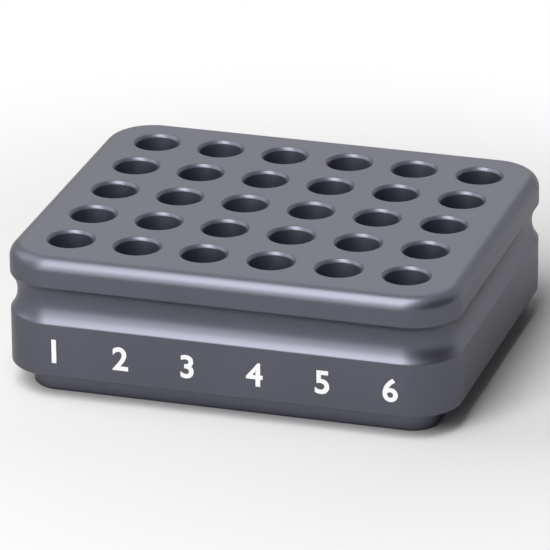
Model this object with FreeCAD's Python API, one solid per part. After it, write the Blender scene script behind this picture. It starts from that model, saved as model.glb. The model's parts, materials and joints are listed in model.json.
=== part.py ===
import FreeCAD, Part
import os

# Cold block, in millimetres with +Z up.
# It is one piece of machined, blasted and anodised aluminium. The origin is the
# centre of the bottom face, and +X runs along the longer rows of wells.

# Grid of wells
WELL_COLUMNS = 6
WELL_ROWS = 5
WELL_PITCH = 18.0

# One well: milled with a straight wall and a flat end, with a chamfered mouth.
# The floor is the metal left below it.
WELL_RADIUS = 5.7
MOUTH_CHAMFER = 0.75
WELL_FLOOR = 5.4

# Plan of the block
SIDE_MARGIN = 15.4
CORNER_RADIUS = 13.2

# Side of the block, from the base up
PLINTH_HEIGHT = 6.2
PLINTH_INSET = 5.8
LOWER_BAND_HEIGHT = 14.7
GROOVE_HEIGHT = 10.2
GROOVE_DEPTH = 1.85
LIP_HEIGHT = 7.8

# Outer edges
TOP_FILLET = 3.7
BAND_CHAMFER = 0.4
PLINTH_CHAMFER = 0.5

BLOCK_LENGTH = (WELL_COLUMNS - 1) * WELL_PITCH + 2 * SIDE_MARGIN
BLOCK_WIDTH = (WELL_ROWS - 1) * WELL_PITCH + 2 * SIDE_MARGIN
GROOVE_BOTTOM = PLINTH_HEIGHT + LOWER_BAND_HEIGHT
BLOCK_HEIGHT = GROOVE_BOTTOM + GROOVE_HEIGHT + LIP_HEIGHT

# How far the well's cutter runs on above the top face
OVERRUN = 1.0

ORIGIN = FreeCAD.Vector(0, 0, 0)
UP = FreeCAD.Vector(0, 0, 1)
SIDES = 4


def vector(x, y, z):
    return FreeCAD.Vector(x, y, z)


def rounded_rectangle(length, width, radius, z):
    """Closed wire of four sides and four quarter arcs, centred on the Z axis."""
    arcs = []
    for side in range(SIDES):
        sign_x = 1 if side in (0, 3) else -1
        sign_y = 1 if side in (0, 1) else -1
        centre = vector(sign_x * (length / 2 - radius), sign_y * (width / 2 - radius), z)
        first = 90 * side
        arcs.append(Part.makeCircle(radius, centre, UP, first, first + 90))
    edges = []
    for arc, following in zip(arcs, arcs[1:] + arcs[:1]):
        edges.append(arc)
        edges.append(Part.makeLine(arc.lastVertex().Point, following.firstVertex().Point))
    return Part.Wire(edges)


def slab(length, width, radius, bottom, height):
    """Upright block with a rounded-rectangle plan."""
    outline = rounded_rectangle(length, width, radius, bottom)
    return Part.Face(outline).extrude(vector(0, 0, height))


def edges_at(shape, z):
    """The edges that lie whole in the level plane at height z."""
    level = []
    for edge in shape.Edges:
        heights = [vertex.Z for vertex in edge.Vertexes]
        if max(abs(height - z) for height in heights) < 1e-6:
            level.append(edge)
    return level


def upper_body():
    """The part that overhangs the plinth, with its rounded top edge."""
    height = BLOCK_HEIGHT - PLINTH_HEIGHT
    body = slab(BLOCK_LENGTH, BLOCK_WIDTH, CORNER_RADIUS, PLINTH_HEIGHT, height)
    body = body.makeFillet(TOP_FILLET, edges_at(body, BLOCK_HEIGHT))
    return body.makeChamfer(BAND_CHAMFER, edges_at(body, PLINTH_HEIGHT))


def plinth():
    """The set-back foot that carries the block, with the same corner centres."""
    length = BLOCK_LENGTH - 2 * PLINTH_INSET
    width = BLOCK_WIDTH - 2 * PLINTH_INSET
    foot = slab(length, width, CORNER_RADIUS - PLINTH_INSET, 0, PLINTH_HEIGHT)
    return foot.makeChamfer(PLINTH_CHAMFER, edges_at(foot, 0))


def groove_tools():
    """Round bar bent once round the block, which cuts the hollow finger groove.

    The groove's height is a chord of the bar's circle and its depth is the
    chord's rise, and the two fix the bar's radius. The four bends turn about
    the centres of the plan's corners.
    """
    half_height = GROOVE_HEIGHT / 2
    bar_radius = (half_height**2 + GROOVE_DEPTH**2) / (2 * GROOVE_DEPTH)
    bend_radius = CORNER_RADIUS + bar_radius - GROOVE_DEPTH
    straight_x = BLOCK_LENGTH - 2 * CORNER_RADIUS
    straight_y = BLOCK_WIDTH - 2 * CORNER_RADIUS
    tools = []
    for side in range(SIDES):
        run, across = (straight_x, straight_y) if side % 2 == 0 else (straight_y, straight_x)
        # Drawn on the side that faces -Y, with the bend at its +X end, then turned
        start = vector(-run / 2, -across / 2 - bend_radius, GROOVE_BOTTOM + half_height)
        circle = Part.makeCircle(bar_radius, start, vector(1, 0, 0))
        # The circle's seam faces away from the block
        circle.rotate(start, vector(1, 0, 0), 180)
        section = Part.Face(Part.Wire(circle))
        straight = section.extrude(vector(run, 0, 0))
        section.translate(vector(run, 0, 0))
        bend = section.revolve(vector(run / 2, -across / 2, 0), UP, 90)
        for tool in (straight, bend):
            tool.rotate(ORIGIN, UP, 90 * side)
            tools.append(tool)
    return tools


def well_tool():
    """Cutter of one well on the Z axis: flat end, straight wall, mouth chamfer."""
    above = BLOCK_HEIGHT + OVERRUN
    half_section = [
        vector(0, 0, WELL_FLOOR),
        vector(WELL_RADIUS, 0, WELL_FLOOR),
        vector(WELL_RADIUS, 0, BLOCK_HEIGHT - MOUTH_CHAMFER),
        vector(WELL_RADIUS + MOUTH_CHAMFER + OVERRUN, 0, above),
        vector(0, 0, above),
        vector(0, 0, WELL_FLOOR),
    ]
    return Part.Face(Part.makePolygon(half_section)).revolve(ORIGIN, UP, 360)


def well_tools():
    """The well's cutter copied over the grid, which is centred on the block."""
    tools = []
    for column in range(WELL_COLUMNS):
        for row in range(WELL_ROWS):
            x = (column - (WELL_COLUMNS - 1) / 2) * WELL_PITCH
            y = (row - (WELL_ROWS - 1) / 2) * WELL_PITCH
            tool = well_tool()
            tool.translate(vector(x, y, 0))
            tools.append(tool)
    return tools


def block():
    """The whole block: body on plinth, less the groove and the wells."""
    body = upper_body().fuse(plinth())
    return body.cut(groove_tools()).cut(well_tools()).Solids[0]


os.makedirs("parts", exist_ok=True)
solid = block()
solid.exportStep("parts/block.step")
print("volume in cubic centimetres", solid.Volume / 1000)
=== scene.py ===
# %% [markdown]
# A cold block, which keeps samples cold in its wells.
# The real object is one solid block of metal: a flat top with a grid of wells, a rounded
# lip, a hollow finger groove all round, a plain lower band and a set-back plinth. It is
# machined, blasted with fine beads and anodised to a dark blue-grey. This lesson dresses
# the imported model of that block: a finer mesh of the same form, two metal finishes, white
# column numbers, a pale floor, soft light and a camera.

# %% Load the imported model
import json
import math

import bmesh
import bpy
from mathutils import Matrix, Vector


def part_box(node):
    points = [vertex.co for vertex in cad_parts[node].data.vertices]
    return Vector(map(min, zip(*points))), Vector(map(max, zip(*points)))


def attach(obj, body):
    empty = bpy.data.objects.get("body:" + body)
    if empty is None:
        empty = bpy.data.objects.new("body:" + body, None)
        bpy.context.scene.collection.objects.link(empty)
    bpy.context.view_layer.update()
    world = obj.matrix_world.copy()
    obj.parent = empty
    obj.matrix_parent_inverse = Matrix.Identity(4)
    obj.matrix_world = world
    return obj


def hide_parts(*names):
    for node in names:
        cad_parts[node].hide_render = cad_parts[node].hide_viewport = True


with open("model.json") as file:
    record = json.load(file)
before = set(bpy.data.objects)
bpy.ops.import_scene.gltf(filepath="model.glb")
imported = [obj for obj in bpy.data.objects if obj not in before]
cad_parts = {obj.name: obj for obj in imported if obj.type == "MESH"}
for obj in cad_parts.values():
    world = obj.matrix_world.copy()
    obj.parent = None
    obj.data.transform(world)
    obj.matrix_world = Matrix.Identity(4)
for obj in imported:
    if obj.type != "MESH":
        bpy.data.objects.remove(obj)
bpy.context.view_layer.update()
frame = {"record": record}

MM = 0.001
UP = Vector((0, 0, 1))
scene = bpy.context.scene

# %% [markdown]
# Sizes come first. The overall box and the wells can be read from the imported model, so they
# are not typed again. The shape of the side can't be read from it, so those sizes are
# written here once, in millimetres, from the base up. One well is stated in the model's
# record as a bore, and each other well as a box of free room, whose middle is its place.

# %% Sizes of the block
low_corner, high_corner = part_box("block")
LENGTH = high_corner.x - low_corner.x
WIDTH = high_corner.y - low_corner.y
HEIGHT = high_corner.z
CORNER_RADIUS = 13.2 * MM
PLINTH_HEIGHT = 6.2 * MM
PLINTH_INSET = 5.8 * MM
PLINTH_CHAMFER = 0.5 * MM
BAND_HEIGHT = 14.7 * MM
BAND_CHAMFER = 0.4 * MM
GROOVE_HEIGHT = 10.2 * MM
GROOVE_DEPTH = 1.85 * MM
TOP_FILLET = 3.7 * MM
GROOVE_BOTTOM = PLINTH_HEIGHT + BAND_HEIGHT
GROOVE_MIDDLE = GROOVE_BOTTOM + GROOVE_HEIGHT / 2
GROOVE_TOP = GROOVE_BOTTOM + GROOVE_HEIGHT

well = next(m for m in frame["record"]["mounts"] if m["kind"] == "bore")
WELL_RADIUS = well["dims"]["r_mm"] * MM
WALL_LENGTH = well["dims"]["length_mm"] * MM
WALL_TOP = well["pos_m"][2] + WALL_LENGTH / 2
WELL_FLOOR = WALL_TOP - WALL_LENGTH
MOUTH_CHAMFER = HEIGHT - WALL_TOP

# Each place is where a well stands on the plan
well_places = [Vector((well["pos_m"][0], well["pos_m"][1], 0))]
for opening in frame["record"]["physics"]["openings"]:
    low, high = (Vector(corner) for corner in opening["box_m"])
    middle = (low + high) / 2
    well_places.append(Vector((middle.x, middle.y, 0)))
column_places = sorted({round(place.x, 6) for place in well_places})
PITCH = column_places[1] - column_places[0]
print("block", LENGTH, WIDTH, HEIGHT, "with", len(well_places), "wells of radius", WELL_RADIUS)

# %% [markdown]
# How fine the mesh is. A round edge looks smooth when each facet turns the surface by only a
# few degrees. The small edge break is the slight rounding that blasting leaves on every
# machined corner, and it is what catches the light along the groove.

# %% Fineness
CORNER_STEPS = 28
FILLET_STEPS = 14
GROOVE_STEPS = 18
WELL_STEPS = 64
EDGE_BREAK = 0.22 * MM
BREAK_SEGMENTS = 3
SHARP = math.radians(25)
MERGE = 0.001 * MM
print("a corner facet turns the side by", round(90 / CORNER_STEPS, 1), "degrees")

# %% [markdown]
# The side of the block is one outline, the same all the way round. It could be cut with
# booleans as a milling machine does, but a drawn section gives cleaner faces. The pen starts
# at the plinth's foot: a straight stroke is an extruded vertex that is moved, and a round
# stroke is a vertex that is spun about the centre of the arc.

# %% Draw the section of the side
section_x = -(LENGTH / 2 - CORNER_RADIUS)


def only(kind, geometry):
    """The vertices, edges or faces among an operator's mixed results."""
    return [item for item in geometry if isinstance(item, kind)]


def side_point(inset, height):
    """A point of the front side's section, so far in from its face and so high."""
    return Vector((section_x, -WIDTH / 2 + inset, height))


def line_to(bm, pen, point):
    """Draws a straight stroke and returns the vertex at its end."""
    pen = bmesh.ops.extrude_vert_indiv(bm, verts=[pen])["verts"][0]
    pen.co = point
    return pen


def arc_round(bm, pen, centre, angle, steps):
    """Draws a round stroke about a centre and returns the vertex at its end."""
    spun = bmesh.ops.spin(
        bm, geom=[pen], cent=centre, axis=(1, 0, 0), angle=angle, steps=steps
    )
    return only(bmesh.types.BMVert, spun["geom_last"])[0]


def draw_section(bm):
    """Draws the side's outline from the foot of the plinth to the end of the fillet."""
    pen = bm.verts.new(side_point(PLINTH_INSET + PLINTH_CHAMFER, 0))
    strokes = (
        (PLINTH_INSET, PLINTH_CHAMFER),
        (PLINTH_INSET, PLINTH_HEIGHT),
        (BAND_CHAMFER, PLINTH_HEIGHT),
        (0, PLINTH_HEIGHT + BAND_CHAMFER),
        (0, GROOVE_BOTTOM),
    )
    for inset, height in strokes:
        pen = line_to(bm, pen, side_point(inset, height))
    # A chord and its rise fix the circle of the groove, whose centre is outside the wall
    half_chord = GROOVE_HEIGHT / 2
    bar_radius = (half_chord**2 + GROOVE_DEPTH**2) / (2 * GROOVE_DEPTH)
    bar_centre = side_point(GROOVE_DEPTH - bar_radius, GROOVE_MIDDLE)
    turn = 2 * math.asin(half_chord / bar_radius)
    pen = arc_round(bm, pen, bar_centre, turn, GROOVE_STEPS)
    pen = line_to(bm, pen, side_point(0, HEIGHT - TOP_FILLET))
    fillet_centre = side_point(TOP_FILLET, HEIGHT - TOP_FILLET)
    arc_round(bm, pen, fillet_centre, -math.pi / 2, FILLET_STEPS)
    bmesh.ops.remove_doubles(bm, verts=bm.verts, dist=MERGE)


body = bmesh.new()
draw_section(body)
print("points of the section", len(body.verts))

# %% [markdown]
# The section is then swept once round the plan: it is pulled straight along a side and spun
# a quarter turn about the corner's centre, four times. The last corner ends where the first
# side began, and merging the doubles closes the ring. Then every sharp outer edge is broken
# by a small bevel, while the inner edges of a milled shape stay sharp.

# %% Sweep the section round the block
SIDES = 4


def sweep_round(bm):
    """Carries the section round the plan: four straight pulls and four quarter turns."""
    straight_x = LENGTH - 2 * CORNER_RADIUS
    straight_y = WIDTH - 2 * CORNER_RADIUS
    end = list(bm.verts) + list(bm.edges)
    for side in range(SIDES):
        turned = Matrix.Rotation(side * math.pi / 2, 3, "Z")
        run, across = (straight_x, straight_y) if side % 2 == 0 else (straight_y, straight_x)
        pulled = bmesh.ops.extrude_edge_only(bm, edges=only(bmesh.types.BMEdge, end))["geom"]
        verts = only(bmesh.types.BMVert, pulled)
        edges = [e for e in only(bmesh.types.BMEdge, pulled) if set(e.verts) <= set(verts)]
        bmesh.ops.translate(bm, verts=verts, vec=turned @ Vector((run, 0, 0)))
        spun = bmesh.ops.spin(
            bm,
            geom=verts + edges,
            cent=turned @ Vector((run / 2, -across / 2, 0)),
            axis=UP,
            angle=math.pi / 2,
            steps=CORNER_STEPS,
        )
        end = spun["geom_last"]
    bmesh.ops.remove_doubles(bm, verts=bm.verts, dist=MERGE)


def break_edges(bm, edges):
    """Rounds sharp outer edges a little."""
    bmesh.ops.bevel(
        bm,
        geom=edges,
        offset=EDGE_BREAK,
        offset_type="OFFSET",
        affect="EDGES",
        segments=BREAK_SEGMENTS,
        profile=0.5,
        material=-1,
    )


def sharp_outer_edges(bm):
    """The edges that stand out and turn by more than the sharp angle."""
    return [
        e
        for e in bm.edges
        if len(e.link_faces) == 2 and e.is_convex and e.calc_face_angle() > SHARP
    ]


sweep_round(body)
bmesh.ops.recalc_face_normals(body, faces=body.faces)
break_edges(body, sharp_outer_edges(body))
print("faces round the side", len(body.faces))

# %% [markdown]
# A well is a turned shape, so its half section is spun a full turn. The ring round its mouth
# is then pulled outwards onto a square as wide as the pitch. That gives one tile of the top
# face with its well, and the tiles of neighbouring wells meet corner to corner.

# %% Model one well in its tile of the top face
METAL, WELL = 0, 1


def well_half_section(bm):
    """Draws a well's half section from the mouth down to the middle of its end."""
    corners = (
        (WELL_RADIUS + MOUTH_CHAMFER, HEIGHT),
        (WELL_RADIUS, WALL_TOP),
        (WELL_RADIUS, WELL_FLOOR),
        (0, WELL_FLOOR),
    )
    verts = [bm.verts.new((radius, 0, height)) for radius, height in corners]
    return [bm.edges.new(pair) for pair in zip(verts, verts[1:])]


def onto_square(place, half):
    """Moves a point straight out from the Z axis to the square round it."""
    return Vector((place.x, place.y, 0)) * half / max(abs(place.x), abs(place.y))


def model_tile(bm):
    """Models a well on the Z axis and the square of top face round its mouth."""
    edges = well_half_section(bm)
    bmesh.ops.spin(
        bm,
        geom=list(bm.verts) + edges,
        axis=UP,
        angle=2 * math.pi,
        steps=WELL_STEPS,
        use_merge=True,
    )
    bmesh.ops.remove_doubles(bm, verts=bm.verts, dist=MERGE)
    for face in bm.faces:
        face.material_index = WELL if face.calc_center_median().z < WALL_TOP else METAL
    mouth = [e for e in bm.edges if e.is_boundary]
    pulled = bmesh.ops.extrude_edge_only(bm, edges=mouth)["geom"]
    for face in only(bmesh.types.BMFace, pulled):
        face.material_index = METAL
    for vert in only(bmesh.types.BMVert, pulled):
        vert.co = onto_square(vert.co, PITCH / 2) + UP * HEIGHT
    bmesh.ops.recalc_face_normals(bm, faces=bm.faces)
    # Both rings of the mouth are broken: the one on the top face and the one at the wall
    upper = HEIGHT - 2 * MOUTH_CHAMFER
    rims = [e for e in bm.edges if min(v.co.z for v in e.verts) > upper]
    rims = [e for e in rims if len(e.link_faces) == 2 and e.calc_face_angle() > SHARP]
    break_edges(bm, rims)


tile = bmesh.new()
model_tile(tile)
print("faces of one tile", len(tile.faces))

# %% [markdown]
# The tile is copied to the place of each well. An array of objects would do as well, but the
# whole block is one solid, so the copies are merged where their edges meet.

# %% Lay the tiles
def lay_tiles(bm, tile):
    """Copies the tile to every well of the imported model."""
    for place in well_places:
        copy = tile.copy()
        bmesh.ops.translate(copy, verts=copy.verts, vec=place)
        mesh = bpy.data.meshes.new("tile")
        copy.to_mesh(mesh)
        copy.free()
        bm.from_mesh(mesh)
        bpy.data.meshes.remove(mesh)
    bmesh.ops.remove_doubles(bm, verts=bm.verts, dist=MERGE)


lay_tiles(body, tile)
tile.free()
print("wells laid", len(well_places))

# %% [markdown]
# Two gaps are left: the flat border between the tiles and the rounded lip, and the underside
# of the plinth. Both are level, so they can be filled without any change to the form.

# %% Close the top and the underside
def open_edges_at(bm, height):
    """The open edges that lie at a height."""
    return [
        e
        for e in bm.edges
        if e.is_boundary and all(abs(v.co.z - height) < MERGE for v in e.verts)
    ]


def close_block(bm):
    """Fills the border of the top face and the underside."""
    border = open_edges_at(bm, HEIGHT)
    bmesh.ops.triangle_fill(bm, use_beauty=True, edges=border, normal=UP)
    bmesh.ops.contextual_create(bm, geom=open_edges_at(bm, 0))
    bmesh.ops.recalc_face_normals(bm, faces=bm.faces)


close_block(body)
open_left = sum(e.is_boundary for e in body.edges)
print("faces of the block", len(body.faces), "open edges", open_left)

# %% [markdown]
# Two things show in every finish here: the fine pits of blasting, and the lines that a
# turning cutter leaves, which all lie level because the cutter goes round the block and down
# the wells. They could be painted on an image, but noise needs none and never repeats. The
# node group reads Object coordinates, so both keep their real size. The lines are the same
# noise, drawn out along X and Y until each blot is a thin level streak. A third and much
# larger noise, the cloud, is for slow changes of tone.

# %% Build the shared tool marks
PIT_SCALE = 2600.0
CLOUD_SCALE = 30.0
LINE_SCALE = 3600.0
LINE_STRETCH = 0.012


def add_node(tree, kind, **values):
    """Adds a node and sets its properties, and its inputs by name."""
    node = tree.nodes.new(kind)
    for name, value in values.items():
        if hasattr(node, name):
            setattr(node, name, value)
        else:
            node.inputs[name.replace("_", " ")].default_value = value
    return node


def tool_marks():
    """The node group: the pits and lines as a height, and the cloud beside them."""
    group = bpy.data.node_groups.new("tool_marks", "ShaderNodeTree")
    for name in ("Pit Share", "Line Share"):
        socket = group.interface.new_socket(name, in_out="INPUT", socket_type="NodeSocketFloat")
        socket.default_value = 0.5
    for name in ("Height", "Cloud"):
        group.interface.new_socket(name, in_out="OUTPUT", socket_type="NodeSocketFloat")
    given = group.nodes.new("NodeGroupInput")
    result = group.nodes.new("NodeGroupOutput")
    place = group.nodes.new("ShaderNodeTexCoord")
    draw_out = add_node(group, "ShaderNodeMapping", Scale=(LINE_STRETCH, LINE_STRETCH, 1))
    pits = add_node(group, "ShaderNodeTexNoise", Scale=PIT_SCALE, Detail=3.0, Roughness=0.6)
    cloud = add_node(group, "ShaderNodeTexNoise", Scale=CLOUD_SCALE, Detail=4.0, Roughness=0.55)
    lines = add_node(group, "ShaderNodeTexNoise", Scale=LINE_SCALE, Detail=2.0, Roughness=0.5)
    pit_part = add_node(group, "ShaderNodeMath", operation="MULTIPLY")
    both = add_node(group, "ShaderNodeMath", operation="MULTIPLY_ADD")
    link = group.links.new
    link(place.outputs["Object"], draw_out.inputs["Vector"])
    link(place.outputs["Object"], pits.inputs["Vector"])
    link(place.outputs["Object"], cloud.inputs["Vector"])
    link(draw_out.outputs["Vector"], lines.inputs["Vector"])
    link(pits.outputs["Fac"], pit_part.inputs[0])
    link(given.outputs["Pit Share"], pit_part.inputs[1])
    link(lines.outputs["Fac"], both.inputs[0])
    link(given.outputs["Line Share"], both.inputs[1])
    link(pit_part.outputs["Value"], both.inputs[2])
    link(both.outputs["Value"], result.inputs["Height"])
    link(cloud.outputs["Fac"], result.inputs["Cloud"])
    return group


marks = tool_marks()
print("node group", marks.name, "with", len(marks.nodes), "nodes")

# %% [markdown]
# Anodised metal is not bright: the dyed oxide over it drinks most of the light, and the
# blasted surface spreads what is left. So it is a full metal with a dark colour that leans to
# blue, and a middling roughness. Light that grazes the face has a longer way through the
# dye, so the edge tint is below white too. The cloud shifts colour and gloss by a few
# percent, as the dye bath and handling do. The height goes to a Bump node, whose distance is
# in metres.

# %% Make the outer metal
METAL_COLOR = (0.112, 0.114, 0.138)
METAL_ROUGHNESS = 0.36
EDGE_TINT = (0.78, 0.78, 0.78, 1)
MARK_DEPTH = 0.006 * MM
# The noise of the cloud hardly leaves this range
CLOUD_LOW = 0.3
CLOUD_HIGH = 0.7


def marked_finish(
    name, color, roughness, pit_share, line_share, tone_spread, gloss_spread, metallic=1.0
):
    """A finish whose colour and gloss drift with the cloud, under pits and cutter lines."""
    material = bpy.data.materials.new(name)
    material.use_nodes = True
    tree = material.node_tree
    shader = tree.nodes["Principled BSDF"]
    shader.inputs["Metallic"].default_value = metallic
    shader.inputs["Specular Tint"].default_value = EDGE_TINT
    marked = add_node(tree, "ShaderNodeGroup", node_tree=marks)
    marked.inputs["Pit Share"].default_value = pit_share
    marked.inputs["Line Share"].default_value = line_share
    tone = add_node(tree, "ShaderNodeValToRGB")
    ends = zip(tone.color_ramp.elements, (CLOUD_LOW, CLOUD_HIGH), (-tone_spread, tone_spread))
    for element, position, change in ends:
        element.position = position
        element.color = [channel * (1 + change) for channel in color] + [1]
    gloss = add_node(tree, "ShaderNodeMapRange", From_Min=CLOUD_LOW, From_Max=CLOUD_HIGH)
    gloss.inputs["To Min"].default_value = roughness - gloss_spread
    gloss.inputs["To Max"].default_value = roughness + gloss_spread
    bump = add_node(tree, "ShaderNodeBump", Strength=1.0, Distance=MARK_DEPTH)
    link = tree.links.new
    link(marked.outputs["Cloud"], tone.inputs["Fac"])
    link(marked.outputs["Cloud"], gloss.inputs["Value"])
    link(tone.outputs["Color"], shader.inputs["Base Color"])
    link(gloss.outputs["Result"], shader.inputs["Roughness"])
    link(marked.outputs["Height"], bump.inputs["Height"])
    link(bump.outputs["Normal"], shader.inputs["Normal"])
    print(name, "base colour", color, "roughness", roughness)
    return material


metal = marked_finish(
    "anodised_metal",
    METAL_COLOR,
    METAL_ROUGHNESS,
    pit_share=0.6,
    line_share=0.35,
    tone_spread=0.04,
    gloss_spread=0.02,
)

# %% [markdown]
# The blasting nozzle doesn't reach down a well, so its wall keeps the cutter's rings. The
# same finish serves with other values: deeper level lines and a rougher metal. Its paler
# colour is painted light, which lifts the dark inside of the wells. A well still looks dark
# from the depth of its shape alone, with a lighter streak where the wall faces a lamp.

# %% Make the metal of the wells
# Paler than the outer metal: this is painted light that brightens the shaded inside of the
# wells
WELL_PAINTED_LIGHT_COLOR = (0.175, 0.18, 0.225)
WELL_ROUGHNESS = 0.52
well_metal_painted_light = marked_finish(
    "milled_well_painted_light",
    WELL_PAINTED_LIGHT_COLOR,
    WELL_ROUGHNESS,
    pit_share=0.2,
    line_share=3.0,
    tone_spread=0.03,
    gloss_spread=0.03,
)

# %% [markdown]
# Now the mesh gets its two metals and becomes an object, which stands in for the packed
# model's block. Shading is smooth but for the sharp edges, and the Weighted Normal modifier
# keeps the large flats flat in shading, beside the small rounds.

# %% Finish the block
def finished_object(name, bm, *materials):
    """Makes the object at the origin, with smooth shading away from sharp edges."""
    mesh = bpy.data.meshes.new(name)
    bm.to_mesh(mesh)
    bm.free()
    mesh.shade_smooth()
    mesh.set_sharp_from_angle(angle=SHARP)
    for material in materials:
        mesh.materials.append(material)
    obj = bpy.data.objects.new(name, mesh)
    scene.collection.objects.link(obj)
    return obj


block = finished_object("milled_block", body, metal, well_metal_painted_light)
weights = block.modifiers.new("even_flats", "WEIGHTED_NORMAL")
weights.keep_sharp = True
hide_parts("block")
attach(block, "root")
print(block.name, "with", len(block.data.materials), "metals")

# %% [markdown]
# White numbers on the lower band name the columns of wells. They are screen printed, so they
# are a film of ink with no real thickness. Text could be cut into the face, but a slip of ink
# that stands a hair proud of it needs no boolean. Blender's own font gives the outline, its
# offset makes it bolder, and the text becomes a mesh before it is moved to its place.

# %% Shape the column numbers
NUMBER_HEIGHT = 6.5 * MM
NUMBER_BOLDNESS = 0.022
# The digits are less than 1 tall at a text size of 1, so the ink comes out a little prouder
INK_PROUD = 0.03 * MM
FONT_STEPS = 8
BAND_MIDDLE = PLINTH_HEIGHT + BAND_HEIGHT / 2


def number_mesh(digits):
    """The digits as a flat slip of ink in the XY plane, at a text size of 1."""
    curve = bpy.data.curves.new("digits", "FONT")
    curve.body = digits
    curve.resolution_u = FONT_STEPS
    curve.offset = NUMBER_BOLDNESS
    curve.extrude = INK_PROUD / NUMBER_HEIGHT
    writer = bpy.data.objects.new("digits", curve)
    mesh = bpy.data.meshes.new_from_object(writer)
    bpy.data.objects.remove(writer)
    return mesh


def add_number(bm, digits, x):
    """Adds a number to the mesh, upright on the front face at x."""
    mesh = number_mesh(digits)
    slip = bmesh.new()
    slip.from_mesh(mesh)
    bmesh.ops.remove_doubles(slip, verts=slip.verts, dist=MERGE)
    lows = [min(v.co[axis] for v in slip.verts) for axis in range(3)]
    highs = [max(v.co[axis] for v in slip.verts) for axis in range(3)]
    middle = Vector((low + high) / 2 for low, high in zip(lows, highs))
    size = NUMBER_HEIGHT / (highs[1] - lows[1])
    bmesh.ops.translate(slip, verts=slip.verts, vec=-middle)
    bmesh.ops.scale(slip, verts=slip.verts, vec=(size, size, size))
    upright = Matrix.Rotation(math.pi / 2, 3, "X")
    bmesh.ops.rotate(slip, verts=slip.verts, matrix=upright)
    bmesh.ops.translate(slip, verts=slip.verts, vec=(x, -WIDTH / 2, BAND_MIDDLE))
    bmesh.ops.recalc_face_normals(slip, faces=slip.faces)
    slip.to_mesh(mesh)
    slip.free()
    bm.from_mesh(mesh)
    bpy.data.meshes.remove(mesh)


numbers = bmesh.new()
for count, x in enumerate(column_places, start=1):
    add_number(numbers, str(count), x)
print("ink faces", len(numbers.faces))

# %% [markdown]
# The ink is matt and nearly white. It is so thin that the blasted pits still show under it,
# so it takes the same marks, and the cloud stands for the uneven pull of the squeegee.

# %% Make the ink and print the numbers with it
INK_COLOR = (0.86, 0.86, 0.87)
INK_ROUGHNESS = 0.55
ink = marked_finish(
    "white_print",
    INK_COLOR,
    INK_ROUGHNESS,
    pit_share=0.6,
    line_share=0.1,
    tone_spread=0.03,
    gloss_spread=0.04,
    metallic=0.0,
)
print_piece = finished_object("column_numbers", numbers, ink)
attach(print_piece, "root")

# %% [markdown]
# The floor is a plain matt sheet, pale by its own colour, so the block's soft shadow and the
# light that bounces up its sides come by themselves. A little way out it turns to plain
# white, as a studio's paper does where it is lit by itself. Brighter lamps would burn out
# the block as well, so Light Path does it instead: only the camera and the reflections in
# metal see the white, and no lamp is needed. No view shows the floor's edge.

# %% Lay the floor
FLOOR_SIZE = 30.0
FLOOR_COLOR = (0.80, 0.80, 0.80, 1)
# Within the first radius the floor shows its own colour, and past the second it is white
NATURAL_RADIUS = 0.09
WHITE_RADIUS = 0.22
# The rays that see the room as it looks, while all others take only its light
SEES_ROOM = ("Is Camera Ray", "Is Glossy Ray", "Is Transmission Ray")


def sees_room(tree):
    """A socket that is 1 for rays from the camera, from metal and through glass."""
    path = tree.nodes.new("ShaderNodeLightPath")
    seen = path.outputs[SEES_ROOM[0]]
    for kind in SEES_ROOM[1:]:
        either = add_node(tree, "ShaderNodeMath", operation="MAXIMUM")
        tree.links.new(seen, either.inputs[0])
        tree.links.new(path.outputs[kind], either.inputs[1])
        seen = either.outputs["Value"]
    return seen


def fade_to_white(tree):
    """Mixes in a white glow away from the block, for the rays that see the room."""
    place = add_node(tree, "ShaderNodeTexCoord")
    reach = add_node(tree, "ShaderNodeVectorMath", operation="LENGTH")
    fade = add_node(tree, "ShaderNodeMapRange", interpolation_type="SMOOTHSTEP")
    fade.inputs["From Min"].default_value = NATURAL_RADIUS
    fade.inputs["From Max"].default_value = WHITE_RADIUS
    share = add_node(tree, "ShaderNodeMath", operation="MULTIPLY")
    glow = add_node(tree, "ShaderNodeEmission")
    mix = add_node(tree, "ShaderNodeMixShader")
    link = tree.links.new
    link(place.outputs["Object"], reach.inputs[0])
    link(reach.outputs["Value"], fade.inputs["Value"])
    link(fade.outputs["Result"], share.inputs[0])
    link(sees_room(tree), share.inputs[1])
    link(share.outputs["Value"], mix.inputs["Fac"])
    link(tree.nodes["Principled BSDF"].outputs["BSDF"], mix.inputs[1])
    link(glow.outputs["Emission"], mix.inputs[2])
    link(mix.outputs["Shader"], tree.nodes["Material Output"].inputs["Surface"])


def pale_floor():
    """A wide level sheet under the block."""
    bm = bmesh.new()
    bmesh.ops.create_grid(bm, x_segments=1, y_segments=1, size=FLOOR_SIZE / 2)
    material = bpy.data.materials.new("pale_floor")
    material.use_nodes = True
    shader = material.node_tree.nodes["Principled BSDF"]
    shader.inputs["Base Color"].default_value = FLOOR_COLOR
    shader.inputs["Roughness"].default_value = 1.0
    shader.inputs["Specular IOR Level"].default_value = 0.0
    fade_to_white(material.node_tree)
    floor = finished_object("floor", bm, material)
    return floor


pale_floor()
print("floor", FLOOR_SIZE, "m wide")

# %% [markdown]
# The block stands in a white room. Light Path tells what kind of ray asks: the camera and
# the reflections in the metal see the room at a strength of 1, which is white, while the
# light that the room throws on matt surfaces is weaker, so that the lamps keep their shape.
# One wall, at the right, is much darker. Metal shows the room it stands in, and a dark wall
# is what keeps the right side of the block apart from its top and front.

# %% Light the room
ROOM_FILL = 0.12
# The dark wall: its middle in degrees from the front to the right, its strength, and the
# cosines of the angles from its middle at which it is fully dark and at which it ends
DARK_SIDE = 72
DARK_LEVEL = 0.28
DARK_CORE = 0.85
DARK_EDGE = 0.35


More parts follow.
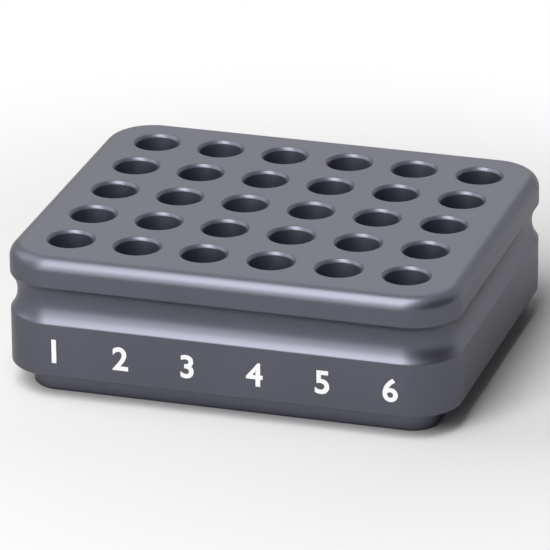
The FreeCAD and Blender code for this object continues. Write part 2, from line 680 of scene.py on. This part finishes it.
def white_room():
    """The world: white for the rays that see it, a weak fill for the rest."""
    world = bpy.data.worlds.new("white_room")
    scene.world = world
    world.use_nodes = True
    tree = world.node_tree
    backdrop = tree.nodes["Background"]
    backdrop.inputs["Color"].default_value = (1, 1, 1, 1)
    place = tree.nodes.new("ShaderNodeTexCoord")
    toward = add_node(tree, "ShaderNodeVectorMath", operation="DOT_PRODUCT")
    turned = math.radians(DARK_SIDE)
    toward.inputs[1].default_value = (math.sin(turned), -math.cos(turned), 0)
    wall = add_node(tree, "ShaderNodeMapRange", interpolation_type="SMOOTHSTEP")
    wall.inputs["From Min"].default_value = DARK_EDGE
    wall.inputs["From Max"].default_value = DARK_CORE
    wall.inputs["To Min"].default_value = 1.0
    wall.inputs["To Max"].default_value = DARK_LEVEL
    level = tree.nodes.new("ShaderNodeMapRange")
    level.inputs["To Min"].default_value = ROOM_FILL
    level.inputs["To Max"].default_value = 1.0
    strength = add_node(tree, "ShaderNodeMath", operation="MULTIPLY")
    link = tree.links.new
    link(place.outputs["Generated"], toward.inputs[0])
    link(toward.outputs["Value"], wall.inputs["Value"])
    link(sees_room(tree), level.inputs["Value"])
    link(wall.outputs["Result"], strength.inputs[0])
    link(level.outputs["Result"], strength.inputs[1])
    link(strength.outputs["Value"], backdrop.inputs["Strength"])


white_room()
print("room fill", ROOM_FILL)

# %% [markdown]
# Four softboxes do the rest. The tall key stands high in front and a little to the left: its
# height sets where the bright lines lie on the rounded edge and in the groove, and how tall
# it is sets how wide they look. A small low box in front lifts the band and the foot. A box
# at the left lights that side, and one behind gives the top its gleam towards the back.

# %% Place the softboxes
LAMP_DISTANCE = 1.2


def softbox(name, azimuth, elevation, width, height, watts):
    """An oblong lamp that faces the block. Azimuth 0 is in front, and 90 is at the left."""
    lamp = bpy.data.lights.new(name, "AREA")
    lamp.energy = watts
    lamp.shape = "RECTANGLE"
    lamp.size = width
    lamp.size_y = height
    obj = bpy.data.objects.new(name, lamp)
    lift = Matrix.Rotation(math.radians(-elevation), 3, "X")
    turn = Matrix.Rotation(math.radians(-azimuth), 3, "Z")
    direction = turn @ lift @ Vector((0, -1, 0))
    target = Vector((0, 0, HEIGHT / 2))
    obj.location = target + direction * LAMP_DISTANCE
    obj.rotation_euler = direction.to_track_quat("Z", "Y").to_euler()
    scene.collection.objects.link(obj)
    print(name, "at", [round(value, 3) for value in obj.location], "m, of", watts, "W")


softbox("key", 16, 56, 0.62, 1.25, 15.0)
softbox("low_front", 20, 15, 0.5, 0.6, 2.5)
softbox("left", 90, 40, 0.9, 0.9, 4.0)
softbox("back", 165, 38, 0.9, 0.9, 1.9)

# %% [markdown]
# The camera stands where the photographer's did: far off with a long lens, a little above the
# block and to its right. It was found from the grid of wells and the outlines of the block in
# the photograph, with a frame of 550 by 550 pixels.

# %% Set the camera
FRAME_PIXELS = 550
SENSOR = 36.0
FOCAL_PIXELS = 5446.0
CAMERA_DISTANCE = 1.4265
CAMERA_AZIMUTH = math.radians(16.98)
CAMERA_ELEVATION = math.radians(22.51)
CAMERA_ROLL = math.radians(-0.367)
TOP_CENTRE_PIXEL = (278.2, 206.65)


def set_camera():
    """Sets the camera so that the middle of the top face falls on its pixel."""
    level = Vector((math.cos(CAMERA_AZIMUTH), math.sin(CAMERA_AZIMUTH), 0))
    away = Vector((math.sin(CAMERA_AZIMUTH), -math.cos(CAMERA_AZIMUTH), 0))
    back = away * math.cos(CAMERA_ELEVATION) + UP * math.sin(CAMERA_ELEVATION)
    upright = back.cross(level)
    right = level * math.cos(CAMERA_ROLL) + upright * math.sin(CAMERA_ROLL)
    up = upright * math.cos(CAMERA_ROLL) - level * math.sin(CAMERA_ROLL)
    half = FRAME_PIXELS / 2
    to_right = (TOP_CENTRE_PIXEL[0] - half) / FOCAL_PIXELS * CAMERA_DISTANCE
    to_top = (half - TOP_CENTRE_PIXEL[1]) / FOCAL_PIXELS * CAMERA_DISTANCE
    place = UP * HEIGHT + back * CAMERA_DISTANCE - right * to_right - up * to_top
    lens = bpy.data.cameras.new("camera")
    lens.sensor_width = SENSOR
    lens.lens = SENSOR * FOCAL_PIXELS / FRAME_PIXELS
    camera = bpy.data.objects.new("camera", lens)
    turned = Matrix((right, up, back)).transposed().to_4x4()
    camera.matrix_world = Matrix.Translation(place) @ turned
    scene.collection.objects.link(camera)
    scene.camera = camera


set_camera()
scene.view_settings.view_transform = "Standard"
print("camera lens", round(scene.camera.data.lens, 1), "mm")
